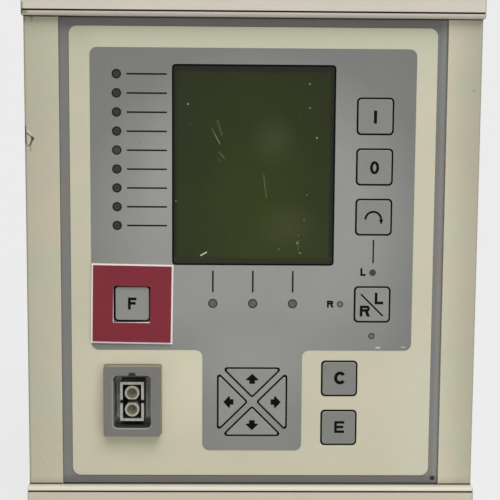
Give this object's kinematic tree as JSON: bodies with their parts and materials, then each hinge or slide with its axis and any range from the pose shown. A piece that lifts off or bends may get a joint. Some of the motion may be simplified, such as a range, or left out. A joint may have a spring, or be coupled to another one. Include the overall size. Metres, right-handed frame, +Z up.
{
  "type": "protection relay",
  "caption": "Flush-mounted protection relay: beige frame, grey operator panel with display window, lamps, push keys and optical service port, on a deep metal case.",
  "frame": {"origin": "middle of the panel cut-out, in the plane where the gasket meets the panel", "axes": "+X to the right seen from the front, +Y to the rear, +Z up; the operator faces along +Y"},
  "size_m": [0.2238, 0.235, 0.2658],
  "materials": {
    "frame_paint": "satin beige paint, chipped in one place",
    "rail_paint": "satin pale beige paint",
    "name_film": "plain matt film, pale beige",
    "gasket_rubber": "matt black foam rubber",
    "channel_grey": "matt mid grey moulding",
    "foil_cream": "fine-textured cream foil",
    "field_grey": "fine-textured grey print",
    "label_pale": "pale engraving core",
    "label_red": "satin dark red engraving face",
    "black_steel": "blackened steel",
    "window_tint": "dark tinted window, lightly scratched",
    "display_black": "matt black",
    "display_green": "unlit dark green display",
    "lamp_dark": "unlit smoke-coloured lens",
    "key_grey": "fine-textured grey key",
    "black_plastic": "matt black moulding",
    "board_green": "green solder mask",
    "port_grey": "matt grey moulding",
    "port_black": "matt black moulding",
    "sleeve_pale": "pale grey moulding",
    "optic_pale": "pale grey ring with a dark lens",
    "case_aluminium": "plain sheet, lightly brushed",
    "zinc_steel": "bright zinc plating",
    "core_steel": "dark laminated steel",
    "coil_tape": "yellow winding tape",
    "capacitor_sleeve": "dark blue sleeve",
    "relay_plastic": "pale moulding",
    "terminal_plastic": "matt dark grey moulding"
  },
  "bodies": {
    "housing": {"front_frame": "frame_paint", "top_rail": "rail_paint", "bottom_rail": "rail_paint", "top_name_strip": "name_film", "bottom_name_strip": "name_film", "panel_gasket": "gasket_rubber", "operator_panel": "channel_grey", "overlay_foil": "foil_cream", "grey_field": "field_grey", "label_core": "label_pale", "label_face": "label_red", "corner_screw": "black_steel", "display_window": "window_tint", "display_bezel": "display_black", "display_glass": "display_green", "alarm_lamps": "lamp_dark", "status_lamps": "lamp_dark", "control_lamps": "lamp_dark", "key_switches": "black_plastic", "board_link": "black_plastic", "card_connectors": "black_plastic", "card_guides": "black_plastic", "processor_chips": "black_plastic", "operator_board": "board_green", "mother_board": "board_green", "transformer_card": "board_green", "processor_card": "board_green", "power_card": "board_green", "relay_cards": "board_green", "port_bezel": "port_grey", "port_socket": "port_black", "port_sleeves": "sleeve_pale", "optical_ends": "optic_pale", "left_side_plate": "case_aluminium", "right_side_plate": "case_aluminium", "top_cover": "case_aluminium", "bottom_cover": "case_aluminium", "rear_panel": "case_aluminium", "case_screws": "zinc_steel", "terminal_screws": "zinc_steel", "serial_port": "zinc_steel", "earth_stud": "zinc_steel", "earth_nut": "zinc_steel", "transformer_cores": "core_steel", "transformer_coils": "coil_tape", "power_parts": "capacitor_sleeve", "output_relays": "relay_plastic", "terminal_blocks": "terminal_plastic", "current_terminals": "terminal_plastic"},
    "close_key": {"key_close": "key_grey"},
    "open_key": {"key_open": "key_grey"},
    "select_key": {"key_select": "key_grey"},
    "local_remote_key": {"key_local_remote": "key_grey"},
    "function_key": {"key_function": "key_grey"},
    "clear_key": {"key_clear": "key_grey"},
    "enter_key": {"key_enter": "key_grey"},
    "up_key": {"key_up": "key_grey"},
    "left_key": {"key_left": "key_grey"},
    "down_key": {"key_down": "key_grey"},
    "right_key": {"key_right": "key_grey"}
  },
  "joints": [
    {"name": "close_press", "type": "slide", "parent": "housing", "child": "close_key", "axis": [0, 1, 0], "range_m": [0, 0.0006], "stiffness_N_per_m": 2500},
    {"name": "open_press", "type": "slide", "parent": "housing", "child": "open_key", "axis": [0, 1, 0], "range_m": [0, 0.0006], "stiffness_N_per_m": 2500},
    {"name": "select_press", "type": "slide", "parent": "housing", "child": "select_key", "axis": [0, 1, 0], "range_m": [0, 0.0006], "stiffness_N_per_m": 2500},
    {"name": "local_remote_press", "type": "slide", "parent": "housing", "child": "local_remote_key", "axis": [0, 1, 0], "range_m": [0, 0.0006], "stiffness_N_per_m": 2500},
    {"name": "function_press", "type": "slide", "parent": "housing", "child": "function_key", "axis": [0, 1, 0], "range_m": [0, 0.0006], "stiffness_N_per_m": 2500},
    {"name": "clear_press", "type": "slide", "parent": "housing", "child": "clear_key", "axis": [0, 1, 0], "range_m": [0, 0.0006], "stiffness_N_per_m": 2500},
    {"name": "enter_press", "type": "slide", "parent": "housing", "child": "enter_key", "axis": [0, 1, 0], "range_m": [0, 0.0006], "stiffness_N_per_m": 2500},
    {"name": "up_press", "type": "slide", "parent": "housing", "child": "up_key", "axis": [0, 1, 0], "range_m": [0, 0.0006], "stiffness_N_per_m": 2500},
    {"name": "left_press", "type": "slide", "parent": "housing", "child": "left_key", "axis": [0, 1, 0], "range_m": [0, 0.0006], "stiffness_N_per_m": 2500},
    {"name": "down_press", "type": "slide", "parent": "housing", "child": "down_key", "axis": [0, 1, 0], "range_m": [0, 0.0006], "stiffness_N_per_m": 2500},
    {"name": "right_press", "type": "slide", "parent": "housing", "child": "right_key", "axis": [0, 1, 0], "range_m": [0, 0.0006], "stiffness_N_per_m": 2500}
  ]
}
